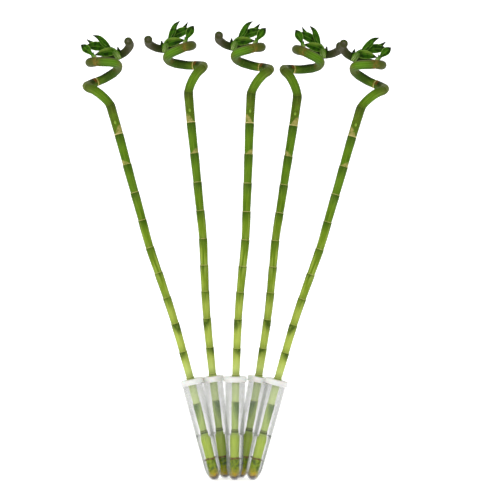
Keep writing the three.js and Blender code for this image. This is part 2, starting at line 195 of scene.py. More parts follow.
SMALL_INNER_LEAF = {
    "rib": [(22.8, -11, 568.9), (24, -9, 573), (23, -7.5, 577.5)],
    "half": 2, "widest": 0.4, "face": (0.2, -1, 0.4), "fold": 0.3, "start": 0.8,
}
UPPER_LEAVES = [TALL_LEAF, BROAD_LEAF, LEAF_BEHIND, LOW_FOLDED_LEAF]
LOWER_LEAVES = [NARROW_LEAF, SMALL_INNER_LEAF]
LOW_FOLDED_NUMBER = UPPER_LEAVES.index(LOW_FOLDED_LEAF) + 1  # leaves are numbered from 1
BLADE_THICKNESS = 0.55
BLADE_EDGE_THINNING = 0.75
BLADE_STEPS = 30
BLADE_COLUMNS = 10
BLADE_LEAST_WIDTH = 0.06  # beside the greatest
BLADE_TIP_SHARE = 0.2  # how much of the least width is left at the tip
BLADE_FOLD_POWER = 1.35  # above 1, so that each half of a blade is hollow
BLADE_WAVE = 0.35  # height of a blade's slow waves
BLADE_WAVES = 3.2  # how many of them there are along it
BLADE_CALM_FROM = 0.75  # share of the length from which they die out
LEAF_SHIFT = 3.1  # sets the waves of one leaf apart from the next one's
HALF_SHIFT = 9  # sets the waves of its two halves apart


# Placing

def lean_of(plant):
    """How the plant leans, as a rotation."""
    back = Matrix.Rotation(math.radians(-plant["back"]), 4, "X")
    return back @ Matrix.Rotation(math.radians(plant["lean"]), 4, "Y")


def place_of(plant):
    """The matrix from the plant's own frame to the object's, both in millimetres."""
    lean = lean_of(plant)
    rise = lean.to_3x3()[2][2]
    reach = math.hypot(TUBE_END_RADIUS * math.sqrt(1 - rise * rise), TUBE_END_HEIGHT * rise)
    tip_height = reach - FOOT_DEPTH - TUBE_END_HEIGHT * rise
    return Matrix.Translation((*plant["tip"], tip_height)) @ lean


def put(bm, name, plant, material, grown=False):
    """A smooth piece in its place, from a bmesh in the plant's frame. What has grown takes the plant's own
    size and hand."""
    matrix = Matrix.Scale(MM, 4) @ place_of(plant)
    if grown:
        size = plant["grown"]
        matrix = matrix @ Matrix.Diagonal((plant["hand"] * size, size, size, 1))
    piece_bm = bm.copy()
    bmesh.ops.transform(piece_bm, matrix=matrix, verts=piece_bm.verts)
    if matrix.determinant() < 0:
        bmesh.ops.reverse_faces(piece_bm, faces=piece_bm.faces)
    mesh = bpy.data.meshes.new(name)
    piece_bm.to_mesh(mesh)
    piece_bm.free()
    mesh.shade_smooth()
    mesh.materials.append(material)
    piece = bpy.data.objects.new(name, mesh)
    bpy.context.scene.collection.objects.link(piece)
    return piece


def dress(piece, node):
    """The piece stands for a CAD node, which is hidden, and hangs under the root body."""
    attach(piece, "root")
    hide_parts(node)


# Curves

class Line:
    """A smooth line through points, with even knots by the root of their distance, measured by its length."""

    def __init__(self, points):
        self.knots = [Vector(p) for p in points]
        self.points = []
        for span in range(len(self.knots) - 1):
            self.points += [self.on_span(span, step / LINE_STEPS) for step in range(LINE_STEPS)]
        self.points.append(self.knots[-1])
        self.lengths = [0]
        for before, after in zip(self.points, self.points[1:]):
            self.lengths.append(self.lengths[-1] + (after - before).length)

    def on_span(self, span, t):
        """The point at a share of one span."""
        p1, p2 = self.knots[span], self.knots[span + 1]
        p0 = self.knots[span - 1] if span else 2 * p1 - p2
        p3 = self.knots[span + 2] if span + 2 < len(self.knots) else 2 * p2 - p1
        d0, d1, d2 = (math.sqrt((b - a).length) for a, b in ((p0, p1), (p1, p2), (p2, p3)))
        start = ((p1 - p0) / d0 - (p2 - p0) / (d0 + d1) + (p2 - p1) / d1) * d1
        end = ((p2 - p1) / d1 - (p3 - p1) / (d1 + d2) + (p3 - p2) / d2) * d1
        cubic = 2 * p1 - 2 * p2 + start + end
        square = 3 * p2 - 3 * p1 - 2 * start - end
        return p1 + start * t + square * t ** 2 + cubic * t ** 3

    def at(self, length):
        """The point at a length along the line."""
        length = min(max(length, 0), self.lengths[-1])
        low, high = 0, len(self.lengths) - 1
        while high - low > 1:
            middle = (low + high) // 2
            low, high = (middle, high) if self.lengths[middle] <= length else (low, middle)
        share = (length - self.lengths[low]) / (self.lengths[high] - self.lengths[low])
        return self.points[low].lerp(self.points[high], share)

    def heading(self, length, reach=0.4):
        """The way that the line runs there."""
        return (self.at(length + reach) - self.at(length - reach)).normalized()


def smooth(low, high, value):
    """0 below low, 1 above high and an even S between them."""
    t = min(max((value - low) / (high - low), 0), 1)
    return t * t * (3 - 2 * t)


# Making skins

def loop_edges(bm, ring):
    """The edges round a closed ring of vertices."""
    return [bm.edges.get(pair) for pair in zip(ring, ring[1:] + ring[:1])]


def extruded(bm, row, closed=True):
    """A copy of a row of vertices, joined to it by faces."""
    edges = loop_edges(bm, row) if closed else [bm.edges.get(pair) for pair in zip(row, row[1:])]
    made = bmesh.ops.extrude_edge_only(bm, edges=edges)["geom"]
    fresh = {v for v in made if isinstance(v, bmesh.types.BMVert)}
    return [next(e.other_vert(v) for e in v.link_edges if e.other_vert(v) in fresh) for v in row]


def spun(outline, closed=False):
    """A bmesh of an outline of (radius, height) turned round Z."""
    bm = bmesh.new()
    row = [bm.verts.new((radius, 0, height)) for radius, height in outline]
    edges = [bm.edges.new(pair) for pair in zip(row, row[1:])]
    if closed:
        edges.append(bm.edges.new((row[-1], row[0])))
    bmesh.ops.spin(
        bm, geom=row + edges, cent=(0, 0, 0), axis=(0, 0, 1), dvec=(0, 0, 0),
        angle=2 * math.pi, steps=ROUND_SIDES, use_merge=True, use_duplicate=False,
    )
    bmesh.ops.remove_doubles(bm, verts=bm.verts, dist=1e-3)
    bmesh.ops.recalc_face_normals(bm, faces=bm.faces)
    return bm


def swept(bm, line, stations, sides, mark):
    """A closed round skin along a line through stations of (length, radius). mark(vertex, length, angle) may
    move each vertex and sets its attributes. Gives the rings at the two ends."""
    first = bmesh.ops.create_circle(bm, cap_ends=False, segments=sides, radius=1)["verts"]
    ring = sorted(first, key=lambda v: math.atan2(v.co.y, v.co.x) % (2 * math.pi))
    side = Vector((1, 0, 0))
    ends = []
    for i, (length, radius) in enumerate(stations):
        if i:
            ring = extruded(bm, ring)
        heading = line.heading(length)
        side = (side - heading * side.dot(heading)).normalized()
        across = heading.cross(side)
        centre = line.at(length)
        for j, vertex in enumerate(ring):
            angle = 2 * math.pi * j / sides
            vertex.co = centre + (side * math.cos(angle) + across * math.sin(angle)) * radius
            mark(vertex, length, angle)
        if i in (0, len(stations) - 1):
            ends.append(list(ring))
    for ring in ends:
        bmesh.ops.contextual_create(bm, geom=loop_edges(bm, ring))
    bmesh.ops.recalc_face_normals(bm, faces=bm.faces)
    return ends


def stub(bm, stations, sides, mark):
    """A short pod with a rounded tip through stations of (point, radius)."""
    line = Line([point for point, _ in stations])
    at = [line.lengths[i * LINE_STEPS] for i in range(len(stations))]
    radii = [radius for _, radius in stations]
    rings = []
    steps = STUB_STEPS * (len(stations) - 1)
    for i in range(steps + 1):
        length = line.lengths[-1] * i / steps
        span = max(k for k in range(len(at) - 1) if at[k] <= length + CLOSE)
        share = smooth(at[span], at[span + 1], length)
        rings.append((length, radii[span] + (radii[span + 1] - radii[span]) * share))
    end, tip = rings[-1]
    rings += [(end + tip * out, tip * width) for out, width in STUB_TIP]
    swept(bm, line, rings, sides, mark)


# The tube, its cap and the water

def tube_outline(inset, floor, top):
    """Points of the tube's outside or inside, from the axis up."""
    def radius_at(z):
        share = (z - TUBE_END_HEIGHT) / (TUBE_HEIGHT - TUBE_END_HEIGHT)
        return TUBE_END_RADIUS + share * (TUBE_RIM_RADIUS - TUBE_END_RADIUS) - inset

    points = []
    for i in range(END_STEPS + 1):
        angle = math.pi / 2 * i / END_STEPS
        height = TUBE_END_HEIGHT - (TUBE_END_HEIGHT - floor) * math.cos(angle)
        points.append((radius_at(TUBE_END_HEIGHT) * math.sin(angle), height))
    rings = range(TUBE_END_HEIGHT + TUBE_RING_SPACING, int(top), TUBE_RING_SPACING)
    points += [(radius_at(z), z) for z in rings]
    return [*points, (radius_at(top), top)]


def level_height(plant, point):
    """Height on the tube's axis of the level plane that a point of the plant's frame is on."""
    up = lean_of(plant).to_3x3().transposed() @ Vector((0, 0, 1))
    return point.dot(up) / up.z


def tube_bmesh(plant):
    """The thin tube with a rounded rim, and its foot cut level with the ground. wet is how clear the plastic
    is: fully so where the water wets it."""
    top = TUBE_HEIGHT - TUBE_RIM_ROUNDING
    outside = tube_outline(0, 0, top)
    inside = tube_outline(TUBE_WALL, TUBE_FLOOR, top)
    rim = [
        (TUBE_RIM_RADIUS - TUBE_RIM_ROUNDING, TUBE_HEIGHT),
        (TUBE_RIM_RADIUS - TUBE_WALL + TUBE_RIM_ROUNDING, TUBE_HEIGHT),
    ]
    bm = spun([*outside, *rim, *reversed(inside)])
    wet = bm.verts.layers.float.new("wet")
    for vertex in bm.verts:
        height = level_height(plant, vertex.co)
        damp = DAMP_SHARE * (1 - smooth(DAMP_FROM, TUBE_HEIGHT, height))
        vertex[wet] = 1 if height < WATER_LEVEL else damp
    to_plant = place_of(plant).inverted()
    down = to_plant.to_3x3() @ Vector((0, 0, -1))
    cut = bmesh.ops.bisect_plane(
        bm, geom=[*bm.verts, *bm.edges, *bm.faces], plane_co=to_plant.translation, plane_no=down,
        clear_outer=True,
    )["geom_cut"]
    edges = [e for e in cut if isinstance(e, bmesh.types.BMEdge)]
    bmesh.ops.contextual_create(bm, geom=edges)
    for edge in edges:
        edge.smooth = False
    return bm


def water_bmesh(plant):
    """The water, level in the leaning tube and drawn up a little at the wall and at the cane."""
    wall = tube_outline(TUBE_WALL + WATER_CLEARANCE, TUBE_FLOOR + WATER_CLEARANCE, WATER_LEVEL)
    outer = wall[-1][0]
    near = cane_radius(WATER_LEVEL - CANE_FOOT)
    surface = []
    for step in range(1, MENISCUS_STEPS):
        drop = 1 - (1 - step / MENISCUS_STEPS) ** 2
        surface.append((outer - step * MENISCUS_STEP, WATER_LEVEL - MENISCUS * drop))
    surface += [(radius, WATER_LEVEL - MENISCUS) for radius in WATER_FLAT_RINGS]
    surface += [(near + away, WATER_LEVEL - MENISCUS * drop) for away, drop in MENISCUS_AT_CANE]
    hole = [(WATER_HOLE_RADIUS, z) for z in (WATER_LEVEL, *WATER_HOLE_RINGS, WATER_HOLE_FLOOR)]
    bm = spun([*wall, *surface, *hole, (0, WATER_HOLE_FLOOR)])
    for vertex in bm.verts:
        sheared = smooth(WATER_LEVEL - LEVELLING_DEPTH, WATER_LEVEL - MENISCUS, vertex.co.z)
        flat = Vector((vertex.co.x, vertex.co.y, 0))
        vertex.co.z -= sheared * level_height(plant, flat)
    return bm


def cap_bmesh():
    """The soft cap: a skirt with a wider lower edge, a shallow dish on top and a lip round the hole."""
    base = CAP_TOP - CAP_HEIGHT
    under = CAP_TOP - CAP_THICKNESS
    flange = base + CAP_FLANGE
    skirt = TUBE_RIM_RADIUS + CAP_CLEARANCE
    dish = CAP_TOP_RADIUS - CAP_RIM_WIDTH
    lip = CAP_HOLE_RADIUS + CAP_LIP_WIDTH
    outline = [
        (CAP_HOLE_RADIUS, under + CAP_HOLE_EDGE),
        (CAP_HOLE_RADIUS + CAP_HOLE_EDGE, under),
        (skirt, under),
        (skirt, base + CAP_SKIRT_EDGE),
        (skirt + CAP_SKIRT_EDGE, base),
        (CAP_EDGE_RADIUS - SOFT_EDGE, base),
        (CAP_EDGE_RADIUS - SOFT_EDGE_MIDDLE, base + SOFT_EDGE_MIDDLE),
        (CAP_EDGE_RADIUS, base + SOFT_EDGE),
        (CAP_EDGE_RADIUS, flange - SOFT_EDGE),
        (CAP_EDGE_RADIUS - SOFT_EDGE_MIDDLE, flange - SOFT_EDGE_MIDDLE),
        (CAP_TOP_RADIUS + SOFT_EDGE, flange),
        (CAP_TOP_RADIUS + SOFT_EDGE_MIDDLE, flange + 0.1),
        (CAP_TOP_RADIUS, flange + 0.35),
    ]
    for i in range(CAP_ROUNDING_STEPS + 1):
        angle = math.pi / 2 * i / CAP_ROUNDING_STEPS
        outline.append((
            CAP_TOP_RADIUS - CAP_ROUNDING * (1 - math.cos(angle)),
            CAP_TOP - CAP_ROUNDING * (1 - math.sin(angle)),
        ))
    outline += [
        (dish, CAP_TOP),
        (dish - 0.4, CAP_TOP - 0.08),
        (dish - 0.8, CAP_TOP - CAP_DISH_DEPTH),
        (lip + 0.7, CAP_TOP - CAP_DISH_DEPTH),
        (lip + 0.3, CAP_TOP - CAP_DISH_DEPTH + 0.1),
        (lip, CAP_TOP - 0.1),
        (lip - 0.2, CAP_TOP),
        (CAP_HOLE_RADIUS + SOFT_EDGE, CAP_TOP),
        (CAP_HOLE_RADIUS + SOFT_EDGE_MIDDLE, CAP_TOP - SOFT_EDGE_MIDDLE),
        (CAP_HOLE_RADIUS, CAP_TOP - SOFT_EDGE),
    ]
    return spun(outline, closed=True)


# The cane

cane_line = Line([*STRAIGHT, *COIL])
cane_length = cane_line.lengths[-1]
coil_start = cane_line.lengths[len(STRAIGHT) * LINE_STEPS]
cane_joints = [
    *((height - CANE_FOOT) * coil_start / (COIL[0][2] - CANE_FOOT) for height in STRAIGHT_JOINTS),
    *(coil_start + length for length in COIL_JOINTS),
]
divisions = [0, *cane_joints, cane_length]


def internode_of(length):
    """Index of the stretch of cane between two joints, and how far the length is above its start and below
    its end."""
    index = max(i for i in range(len(divisions) - 1) if divisions[i] <= length + CLOSE)
    return index, length - divisions[index], divisions[index + 1] - length


def cane_radius(length):
    """The cane widens from a neck to the collar under each joint, and steps in above it."""
    index, above, below = internode_of(length)
    grown = min((length + below) / coil_start, 1)
    collar = COLLAR_RADIUS * (FOOT_COLLAR_SHARE + (1 - FOOT_COLLAR_SHARE) * grown)
    neck = NECK_SHARE["coil"]
    if index == 0:
        neck = 1
    elif grown < 1:
        neck = NECK_SHARE["foot"] + (NECK_SHARE["top"] - NECK_SHARE["foot"]) * grown
    widened = min(above / (above + below) / WIDE_FROM, 1)
    lip = 1 - smooth(0, LIP_HEIGHT, above) if index else 0
    end = min(min(length, cane_length - length) / END_ROUNDING, 1)
    rounded = END_SHARE + (1 - END_SHARE) * math.sqrt(1 - (1 - end) ** 2)
    tapered = 1 - TAPER * smooth(divisions[-4], cane_length, length)
    return collar * (neck + (1 - neck) * max(widened, lip)) * rounded * tapered


def cane_stations():
    """Lengths and radii of the cane's rings: closer together round each joint and at the ends."""
    lengths = []
    for low, high in zip(divisions, divisions[1:]):
        start = RINGS_AT_END if low == 0 else RINGS_ABOVE_JOINT
        stop = RINGS_AT_END[::-1] if high == cane_length else (*RINGS_BELOW_JOINT, 0)
        first, last = low + start[-1], high - stop[0]
        count = round((last - first) / RING_SPACING)
        lengths += [low + rise for rise in start[:-1]]
        lengths += [first + (last - first) * i / count for i in range(count)]
        lengths += [high - rise for rise in stop]
    return [(length, cane_radius(length)) for length in lengths]


def root_stations(number):
    """One of the root stubs round the lowest joint, which are higher and lower in turn."""
    turn = 2 * math.pi * number / ROOTS["count"]
    height = ROOTS["height"] + (number % 2) * ROOTS["stagger"]
    half_way = (ROOTS["start"] + ROOTS["reach"]) / 2
    course = [
        (ROOTS["start"], 0, ROOTS["radius"]),
        (half_way, ROOTS["half_droop"], ROOTS["radius"]),
        (ROOTS["reach"], ROOTS["droop"], ROOTS["tip"]),
    ]
    return [
        ((away * math.cos(turn), away * math.sin(turn), height - droop), radius)
        for away, droop, radius in course
    ]


def rest_bud_stations():
    """The bud that lies against the front of the cane."""
    surface = COLLAR_RADIUS * NECK_SHARE["top"]
    x, height, half = REST_BUD["x"], REST_BUD["height"], REST_BUD["length"] / 2
    return [
        ((x, REST_BUD["sunk"] - surface, height - half), REST_BUD["radius"]),
        ((x, -surface, height), REST_BUD["radius"]),
        ((x, -surface, height + half), REST_BUD["tip"]),
    ]


def cane_bmesh():
    """The jointed cane with its coil, cut ends, root stubs and resting bud. The vertices carry what the
    skin's finish follows. skin is the place round the cane and along it. joint is the distances above and
    below the nearest joints, and how far the dark patch of a leaf scar reaches down on this side. trait is
    the part of the plant, the share of the way down from the joint above, and how far this is inside a scrap
    of husk."""
    bm = bmesh.new()
    skin = bm.verts.layers.float_vector.new("skin")
    joint = bm.verts.layers.float_vector.new("joint")
    trait = bm.verts.layers.float_vector.new("trait")

    def mark_cane(vertex, length, angle):
        index, above, below = internode_of(length)
        around = Vector((math.cos(angle), math.sin(angle), 0))
        out = (vertex.co - cane_line.at(length)).normalized()
        height = 0
        for wave in SKIN_WAVES:
            place = around * wave["round"] + Vector((wave["shift"], 0, length / wave["length"]))
            height += wave["share"] * noise.noise(place)
        vertex.co += out * height * SKIN_WAVE
        scar = math.pi + SCAR_TURN if index % 2 else -SCAR_TURN
        facing = max(math.cos(angle - scar) + SCAR_WRAP, 0) / (1 + SCAR_WRAP)
        reach = SCAR_REACH[min(index, len(SCAR_REACH) - 1)] * facing ** SCAR_ROUNDNESS
        vertex[skin] = (around.x, around.y, length)
        vertex[joint] = (above, below, reach)
        vertex[trait] = (SKIN, below / (above + below), HUSK_REACH.get(index, 0) * facing - above)

    def mark_stub(kind):
        def mark(vertex, length, angle):
            vertex[skin] = (math.cos(angle), math.sin(angle), length)
            vertex[trait] = (kind, 0, 0)
        return mark

    ends = swept(bm, cane_line, cane_stations(), CANE_SIDES, mark_cane)
    for ring in ends:
        face = next(f for f in ring[0].link_faces if len(f.verts) == CANE_SIDES)
        for depth, width in CUT_END_STEPS:
            bmesh.ops.inset_individual(bm, faces=[face], thickness=width, depth=depth, use_even_offset=True)
        for vertex in face.verts:
            vertex[trait] = (CUT_END, 0, 0)
    for number in range(ROOTS["count"]):
        stub(bm, root_stations(number), ROOTS["sides"], mark_stub(ROOT))
    stub(bm, rest_bud_stations(), REST_BUD["sides"], mark_stub(RESTING_BUD))
    return bm


# The shoots

def blade(bm, leaf, number, place, trait):
    """One leaf blade: folded along its midrib, with gently curved halves, thin edges and a slow wave."""
    line = Line(leaf["rib"])
    span = line.lengths[-1]
    face = Vector(leaf["face"])
    swell = math.log(0.5) / math.log(leaf["widest"])
    columns = [2 * j / BLADE_COLUMNS - 1 for j in range(BLADE_COLUMNS + 1)]

    def section(along):
        """The points across the blade at a share of its length, and the way that it faces there."""
        heading = line.heading(span * along)
        side = heading.cross(face).normalized()
        normal = side.cross(heading)
        bulge = math.sin(math.pi * along ** swell)
        start = leaf["start"] * (1 - 2 * along)
        least = BLADE_LEAST_WIDTH * (1 + BLADE_TIP_SHARE - along)
        width = leaf["half"] * max(bulge, start, least)
        middle = line.at(span * along)
        calm = min(1, (1 - along) / (1 - BLADE_CALM_FROM))
        points = []
        for across in columns:
            raised = leaf["fold"] * width * abs(across) ** BLADE_FOLD_POWER
            shift = number * LEAF_SHIFT + (across > 0) * HALF_SHIFT
            wave = BLADE_WAVE * abs(across) * noise.noise(Vector((shift, along * BLADE_WAVES, 0)))
            points.append(middle + side * (across * width) + normal * (raised + wave * calm))
        return points, normal

    def surface(lowered):
        """The rows of vertices of the blade's face, or of its back, which is lowered by its thickness."""
        rows = []
        for i in range(BLADE_STEPS + 1):
            along = i / BLADE_STEPS
            points, normal = section(along)
            if rows:
                row = extruded(bm, rows[-1], closed=False)
            else:
                row = [bm.verts.new(point) for point in points]
                for pair in zip(row, row[1:]):
                    bm.edges.new(pair)
            for across, vertex, point in zip(columns, row, points):
                thin = 1 - BLADE_EDGE_THINNING * abs(across) ** 3
                vertex.co = point - normal * (lowered * thin)
                vertex[place] = (across, along, number)
                vertex[trait] = (BLADE, 0, 0)
            rows.append(row)
        return rows

    def rim(rows):
        """The vertices round a face, in their order."""
        right = [row[-1] for row in rows[1:]]
        left = [row[0] for row in rows[-2:0:-1]]
        return [*rows[0], *right, *reversed(rows[-1][:-1]), *left]

    front = surface(0)
    back = surface(BLADE_THICKNESS)
    edges = loop_edges(bm, rim(front)) + loop_edges(bm, rim(back))
    faces = set(bmesh.ops.bridge_loops(bm, edges=edges)["faces"])
    for row in front + back:
        for vertex in row:
            faces.update(vertex.link_faces)
    bmesh.ops.recalc_face_normals(bm, faces=list(faces))


def shoot_bmesh(sheath, buds, leaves):
    """A shoot: pale sheath, buds and leaves. blade is the place across and along a leaf, and the leaf's
    number. trait is the part of the shoot, and how far along a sheath or bud this is."""
    bm = bmesh.new()
    trait = bm.verts.layers.float_vector.new("trait")
    place = bm.verts.layers.float_vector.new("blade")

    def mark_pod(kind, reach):
        def mark(vertex, length, angle):
            grown = min(length / reach, 1)
            vertex[trait] = (kind, 0, grown)
            vertex[place] = (math.cos(angle), grown, 0)
        return mark

    pods = [(sheath, SHEATH, SHEATH_SIDES), *((bud, SHOOT_BUD, SHOOT_BUD_SIDES) for bud in buds)]
    for stations, kind, sides in pods:
        reach = (Vector(stations[-1][0]) - Vector(stations[0][0])).length
        stub(bm, stations, sides, mark_pod(kind, reach))
    for number, leaf in enumerate(leaves, 1):
        blade(bm, leaf, number, place, trait)
    return bm


# Finishes

def linear(hex_colour):
    """An sRGB hex value as linear red, green, blue and alpha."""
    parts = [int(hex_colour[i:i + 2], 16) / 255 for i in (1, 3, 5)]
    return [*(p / 12.92 if p <= 0.04045 else ((p + 0.055) / 1.055) ** 2.4 for p in parts), 1]


def add(tree, kind, inputs=None, **settings):
    """A node with its settings, and values or links in its sockets. Gives its first output in use."""
    made = tree.nodes.new("ShaderNode" + kind)
    for key, value in settings.items():
        setattr(made, key, value)
    for key, value in (inputs or {}).items():
        in_use = [s for s in made.inputs if s.enabled]
        socket = in_use[key] if isinstance(key, int) else next(s for s in in_use if s.name == key)
        if isinstance(value, bpy.types.NodeSocket):
            tree.links.new(value, socket)
        else:
            socket.default_value = value
    return next((s for s in made.outputs if s.enabled), made)


def coated(tree, base, coats):
    """The base colour under coats of (colour, strength, (value, low, high), ...). A coat shows as far as all
    of its values have gone from low to high."""
    colour = linear(base) if isinstance(base, str) else base
    for coat, strength, *ramps in coats:
        amount = strength
        for value, low, high in ramps:
            ramp = add(tree, "MapRange", {"Value": value, "From Min": low, "From Max": high})
            amount = add(tree, "Math", {0: ramp, 1: amount}, operation="MULTIPLY")
        coat = linear(coat) if isinstance(coat, str) else coat
        colour = add(tree, "Mix", {"Factor": amount, "A": colour, "B": coat}, data_type="RGBA")
    return colour


def between(value, start, full, fading, gone):
    """Ramps that let a coat show between two values."""
    return (value, start, full), (value, gone, fading)


def only(kind, part):
    """Ramps that let a coat show on one part of the plant alone."""
    return between(kind, part - 0.5, part - 0.1, part + 0.1, part + 0.5)


def parts_of(tree, attribute):
    """The three numbers of a vertex attribute."""
    vector = add(tree, "Attribute", attribute_name=attribute).node.outputs["Vector"]
    return add(tree, "SeparateXYZ", {"Vector": vector}).node.outputs


def new_material(name):
    """An empty material and its node tree."""
    material = bpy.data.materials.new(name)
    material.use_nodes = True
    material.node_tree.nodes.clear()
    return material, material.node_tree


def cane_finish():
    """Living cane skin: a waxy cuticle over green tissue, deep green high up and yellower low down. Each
    length of cane is dark under its upper joint and grows paler downwards. Old leaf scars leave a pale line,
    brown edges and a dark patch at the joints, and fibres and streaks run along the cane. Cut ends are brown,
    dry wood, and what stands in water is stained. In the tube the cane is paler: partly its own colour,
    partly painted light for what the walls and water take. On the coil, painted shade darkens the stretches
    behind, the upper sides and the undersides."""
    material, tree = new_material("living_cane_waxy_skin")
    _, _, along = parts_of(tree, "skin")
    above, below, scar_reach = parts_of(tree, "joint")
    kind, fallen, inside_husk = parts_of(tree, "trait")
    skin = add(tree, "Attribute", attribute_name="skin").node.outputs["Vector"]
    place = add(tree, "TexCoord").node.outputs["Object"]

    # slow patches 14 mm wide and spots 3.5 mm wide
    mottle = add(tree, "TexNoise", {"Vector": place, "Scale": 1 / (14 * MM), "Detail": 3})
    spots = add(tree, "TexNoise", {"Vector": place, "Scale": 1 / (3.5 * MM), "Detail": 4})

    # fibres 0.5 mm wide and 30 mm long, and streaks 2.75 mm wide and 28 mm long
    skin_radius = 5.5
    fibre_scale = (skin_radius / 0.5, skin_radius / 0.5, 1 / 30)
    stretched = add(tree, "VectorMath", {0: skin, 1: fibre_scale}, operation="MULTIPLY")
    fibres = add(tree, "TexNoise", {"Vector": stretched, "Scale": 1, "Detail": 2})
    streak_scale = (skin_radius / 2.75, skin_radius / 2.75, 1 / 28)
    drawn_out = add(tree, "VectorMath", {0: skin, 1: streak_scale}, operation="MULTIPLY")
    streaks = add(tree, "TexNoise", {"Vector": drawn_out, "Scale": 1, "Detail": 2})

    inside_scar = add(tree, "Math", {0: scar_reach, 1: below}, operation="SUBTRACT")
    normal = add(tree, "TexCoord").node.outputs["Normal"]
    upward = add(tree, "SeparateXYZ", {"Vector": normal}).node.outputs["Z"]
    ragged = add(tree, "Math", {0: spots, 1: 14, 2: along}, operation="MULTIPLY_ADD")
    cut_wood = coated(tree, "#3d3c2e", [("#5a5644", 1, (spots, 0.35, 0.65)), ("#5a3d1c", 1, (along, 40, 20))])

    def on_coil(start, full, fading, gone):
        """Ramps between two distances along the coil."""
        return between(along, coil_start + start, coil_start + full, coil_start + fading, coil_start + gone)

    up_to_coil = (along, coil_start - 20, coil_start - 30)
    in_tube = (along, 101, 96)
    in_water = (along, 59, 55)
    at_foot = (along, 26, 23)
    colour_by_height = [
        ("#c6d480", 1, (along, 118, 134)),
        ("#a8b750", 1, (along, 128, 158)),
        ("#98a840", 1, (along, 170, 215)),
        ("#728a18", 1, (along, 222, 258)),
        ("#627e0c", 1, (along, 290, 330)),
        ("#537605", 1, (along, 350, 380)),
    ]
    shade_under_joints = [
        ("#4f6a08", 0.42, (above, 9, 1.5), (along, 100, 130)),
        ("#3d5c00", 0.62, (fallen, 0.45, 0.06), (along, 100, 180)),
        ("#264200", 0.5, (fallen, 0.4, 0.04), (along, 300, 380)),
        ("#1d3400", 0.45, (below, 14, 3), *between(along, 470, 490, 503, 504)),
        ("#3c5000", 0.7, (above, 14, 1), *on_coil(-1, 0, 10, 16)),
    ]
    # In the tube and the water the cane is paler: partly its own colour, partly painted light that makes up
    # for the light that the walls and the water take. Then patches, streaks and fibres.
    grain = [
        ("#b6cf6c", 0.85, in_tube),
        ("#ccea58", 1, in_water),
        ("#dcea80", 0.5, (fibres, 0.5, 0.7), in_water),
        ("#7f9c14", 0.5, (fibres, 0.46, 0.3), in_water),
        ("#335000", 0.25, (mottle, 0.45, 0.75), (along, 100, 400)),
        ("#bfd062", 0.34, (streaks, 0.52, 0.68), *between(along, 160, 240, 290, 400)),
        ("#365a00", 0.5, (streaks, 0.5, 0.34), (along, 150, 240)),
        ("#b3c35c", 0.3, (fibres, 0.52, 0.8)),
        ("#3f5c00", 0.34, (fibres, 0.46, 0.2)),
    ]
    # olive at the right bend, deep green on the stretch behind, green in front, then olive to nearly black.
    # Deep green and near black on the stretches behind: partly the cane's colour, partly painted shade.
    # The darker upper sides and undersides, set by the way that the skin faces, are painted shade.
    coil = [
        ("#5d6226", 0.75, *on_coil(26, 40, 56, 66)),
        # deep green behind: partly the cane's colour, partly painted shade
        ("#324c0a", 0.85, *on_coil(72, 84, 106, 122)),
        # painted shade: darker upper side of the stretch behind
        ("#1a2608", 0.88, (upward, 0.1, 0.75), *on_coil(69, 80, 104, 120)),
        # painted shade: darker upper side where the coil turns behind
        ("#1c2c08", 0.8, (upward, -0.3, 0.3), *on_coil(48, 58, 68, 68.4)),
        ("#8a4a1c", 0.8, (upward, -0.2, 0.4), *on_coil(63, 65, 68, 68.4)),
        ("#527e0c", 0.8, *on_coil(110, 122, 138, 152)),
        ("#5e4416", 0.6, *on_coil(102, 110, 122, 132)),
        ("#9cc060", 0.25, (fibres, 0.5, 0.66), *on_coil(116, 124, 148, 160)),
        # painted shade: olive-brown upper side of the front stretch
        ("#50491a", 0.75, (upward, 0.35, 0.85), *on_coil(104, 124, 170, 182)),
        # painted shade: darker undersides from the right bend on
        ("#2f4c00", 0.6, (upward, -0.2, -0.8), (along, coil_start + 60, coil_start + 80)),
        ("#454a14", 0.9, *on_coil(144, 158, 166, 178)),
        ("#434a1c", 0.9, (along, coil_start + 160, coil_start + 176)),
        # near black on the last stretch behind: partly the cane's colour, partly painted shade
        ("#28350d", 0.9, (along, coil_start + 182, coil_start + 196)),
        ("#403e26", 0.9, (along, coil_start + 232, coil_start + 246)),
    ]
    scars_and_joint_lines = [
        ("#2c4700", 0.8, (inside_scar, -1.5, 7), (spots, 0.2, 0.5), (along, 100, 112)),
        ("#4c7404", 0.9, (inside_scar, -3, 19), (below, -1, 1.8), (along, 110, 100)),
        ("#55680c", 0.85, (below, 3, 2), *between(along, 50, 54, 62, 66)),
        ("#55680c", 0.85, (above, 2.6, 1.6), *between(along, 59, 60, 68, 72)),
        ("#3a4a06", 0.6, (below, 1.6, 0.3), (along, coil_start + 240, coil_start + 235)),
        ("#8a5a24", 0.42, *on_coil(147, 151, 154, 158), (spots, 0.35, 0.6)),
        ("#7a5420", 0.45, (above, 4.5, 2), *on_coil(66, 68, 76, 80)),
        ("#c9b878", 0.22, (above, 1.15, 0.7), (along, 20, 40), up_to_coil, (spots, 0.3, 0.5)),
        ("#c9b878", 0.42, (above, 1.15, 0.7), (along, 210, 350), up_to_coil, (spots, 0.3, 0.5)),
        ("#4a4a10", 0.5, (spots, 0.25, 0.6), *between(along, 462, 466, 496, 508)),
        ("#d8c890", 0.9, (above, 1.6, 1), (along, 455, 460), up_to_coil),
        ("#a89a58", 0.8, (inside_husk, -0.6, 2), (spots, 0.3, 0.55)),
        ("#cbc070", 0.75, (above, 2.2, 1.2), (spots, 0.2, 0.45), *on_coil(66, 68, 76, 80)),
    ]
